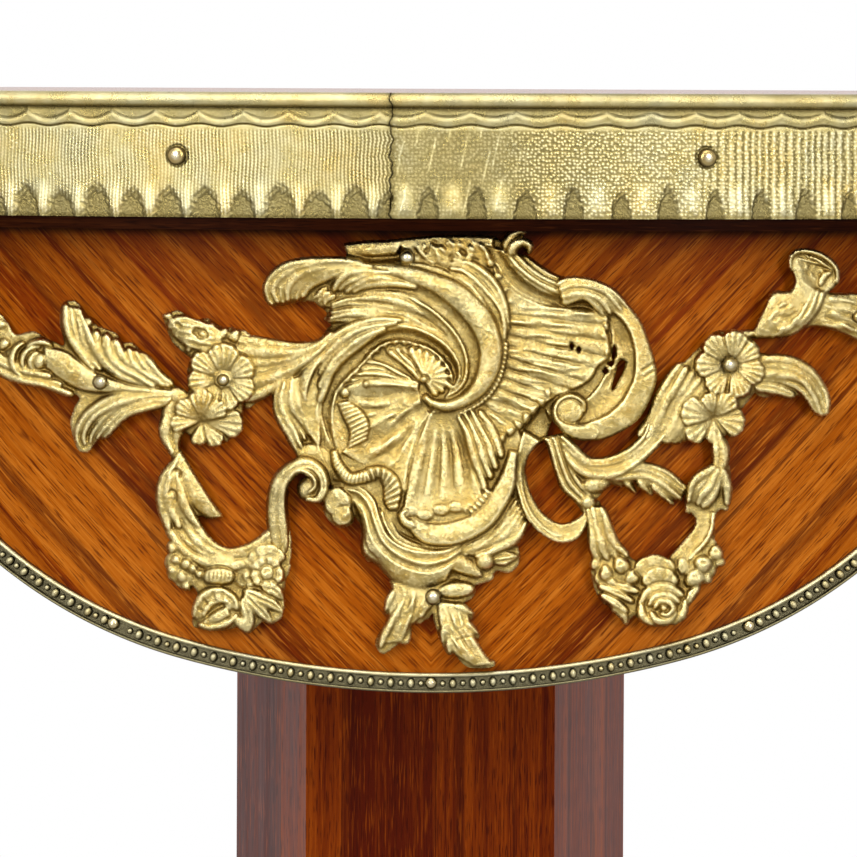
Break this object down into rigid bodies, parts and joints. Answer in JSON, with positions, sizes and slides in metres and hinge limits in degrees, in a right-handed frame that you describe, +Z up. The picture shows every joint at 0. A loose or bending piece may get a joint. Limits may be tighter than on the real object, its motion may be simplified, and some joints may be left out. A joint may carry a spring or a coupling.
{
  "type": "demilune table",
  "caption": "Half-round pedestal side table with a gilt-banded top, a deep veneered apron carrying an asymmetrical gilt rocaille mount, a canted trunk and a half-round plinth.",
  "frame": {"origin": "on the floor, under the middle of the overall box", "axes": "+Z up, flat back towards +Y, curved front towards -Y, +X to the right seen from the front"},
  "size_m": [0.504, 0.252, 0.76],
  "materials": {
    "gilt_bronze": "chased and gilt, worn to a soft shine",
    "figured_veneer": "glossy lacquer",
    "polished_hardwood": "glossy lacquer",
    "carcase_oak": "bare",
    "screw_steel": "plain"
  },
  "bodies": {
    "root": {"edge_band_left": "gilt_bronze", "edge_band_right": "gilt_bronze", "edge_band_pins": "gilt_bronze", "bead_strip": "gilt_bronze", "bead_strip_pins": "gilt_bronze", "cartouche": "gilt_bronze", "garland_left": "gilt_bronze", "garland_right": "gilt_bronze", "spray_left": "gilt_bronze", "spray_right": "gilt_bronze", "mount_pins": "gilt_bronze", "plinth_strip": "gilt_bronze", "apron_veneer_left": "figured_veneer", "apron_veneer_right": "figured_veneer", "trunk_front_veneer": "figured_veneer", "trunk_side_veneer_left": "figured_veneer", "trunk_side_veneer_right": "figured_veneer", "top_veneer_left": "figured_veneer", "top_veneer_right": "figured_veneer", "top_crossband": "polished_hardwood", "top_back_lipping": "polished_hardwood", "top_lip": "polished_hardwood", "plinth_step": "polished_hardwood", "plinth_base": "polished_hardwood", "feet": "polished_hardwood", "top_screws": "screw_steel", "bearer_screws": "screw_steel", "rail_screws": "screw_steel", "plinth_screws": "screw_steel", "top_core": "carcase_oak", "apron_core": "carcase_oak", "back_rail": "carcase_oak", "bearer": "carcase_oak", "corner_blocks": "carcase_oak", "trunk_front": "carcase_oak", "trunk_side_left": "carcase_oak", "trunk_side_right": "carcase_oak", "trunk_back": "carcase_oak", "trunk_head_block": "carcase_oak", "trunk_foot_block": "carcase_oak", "trunk_glue_blocks": "carcase_oak"}
  },
  "joints": []
}
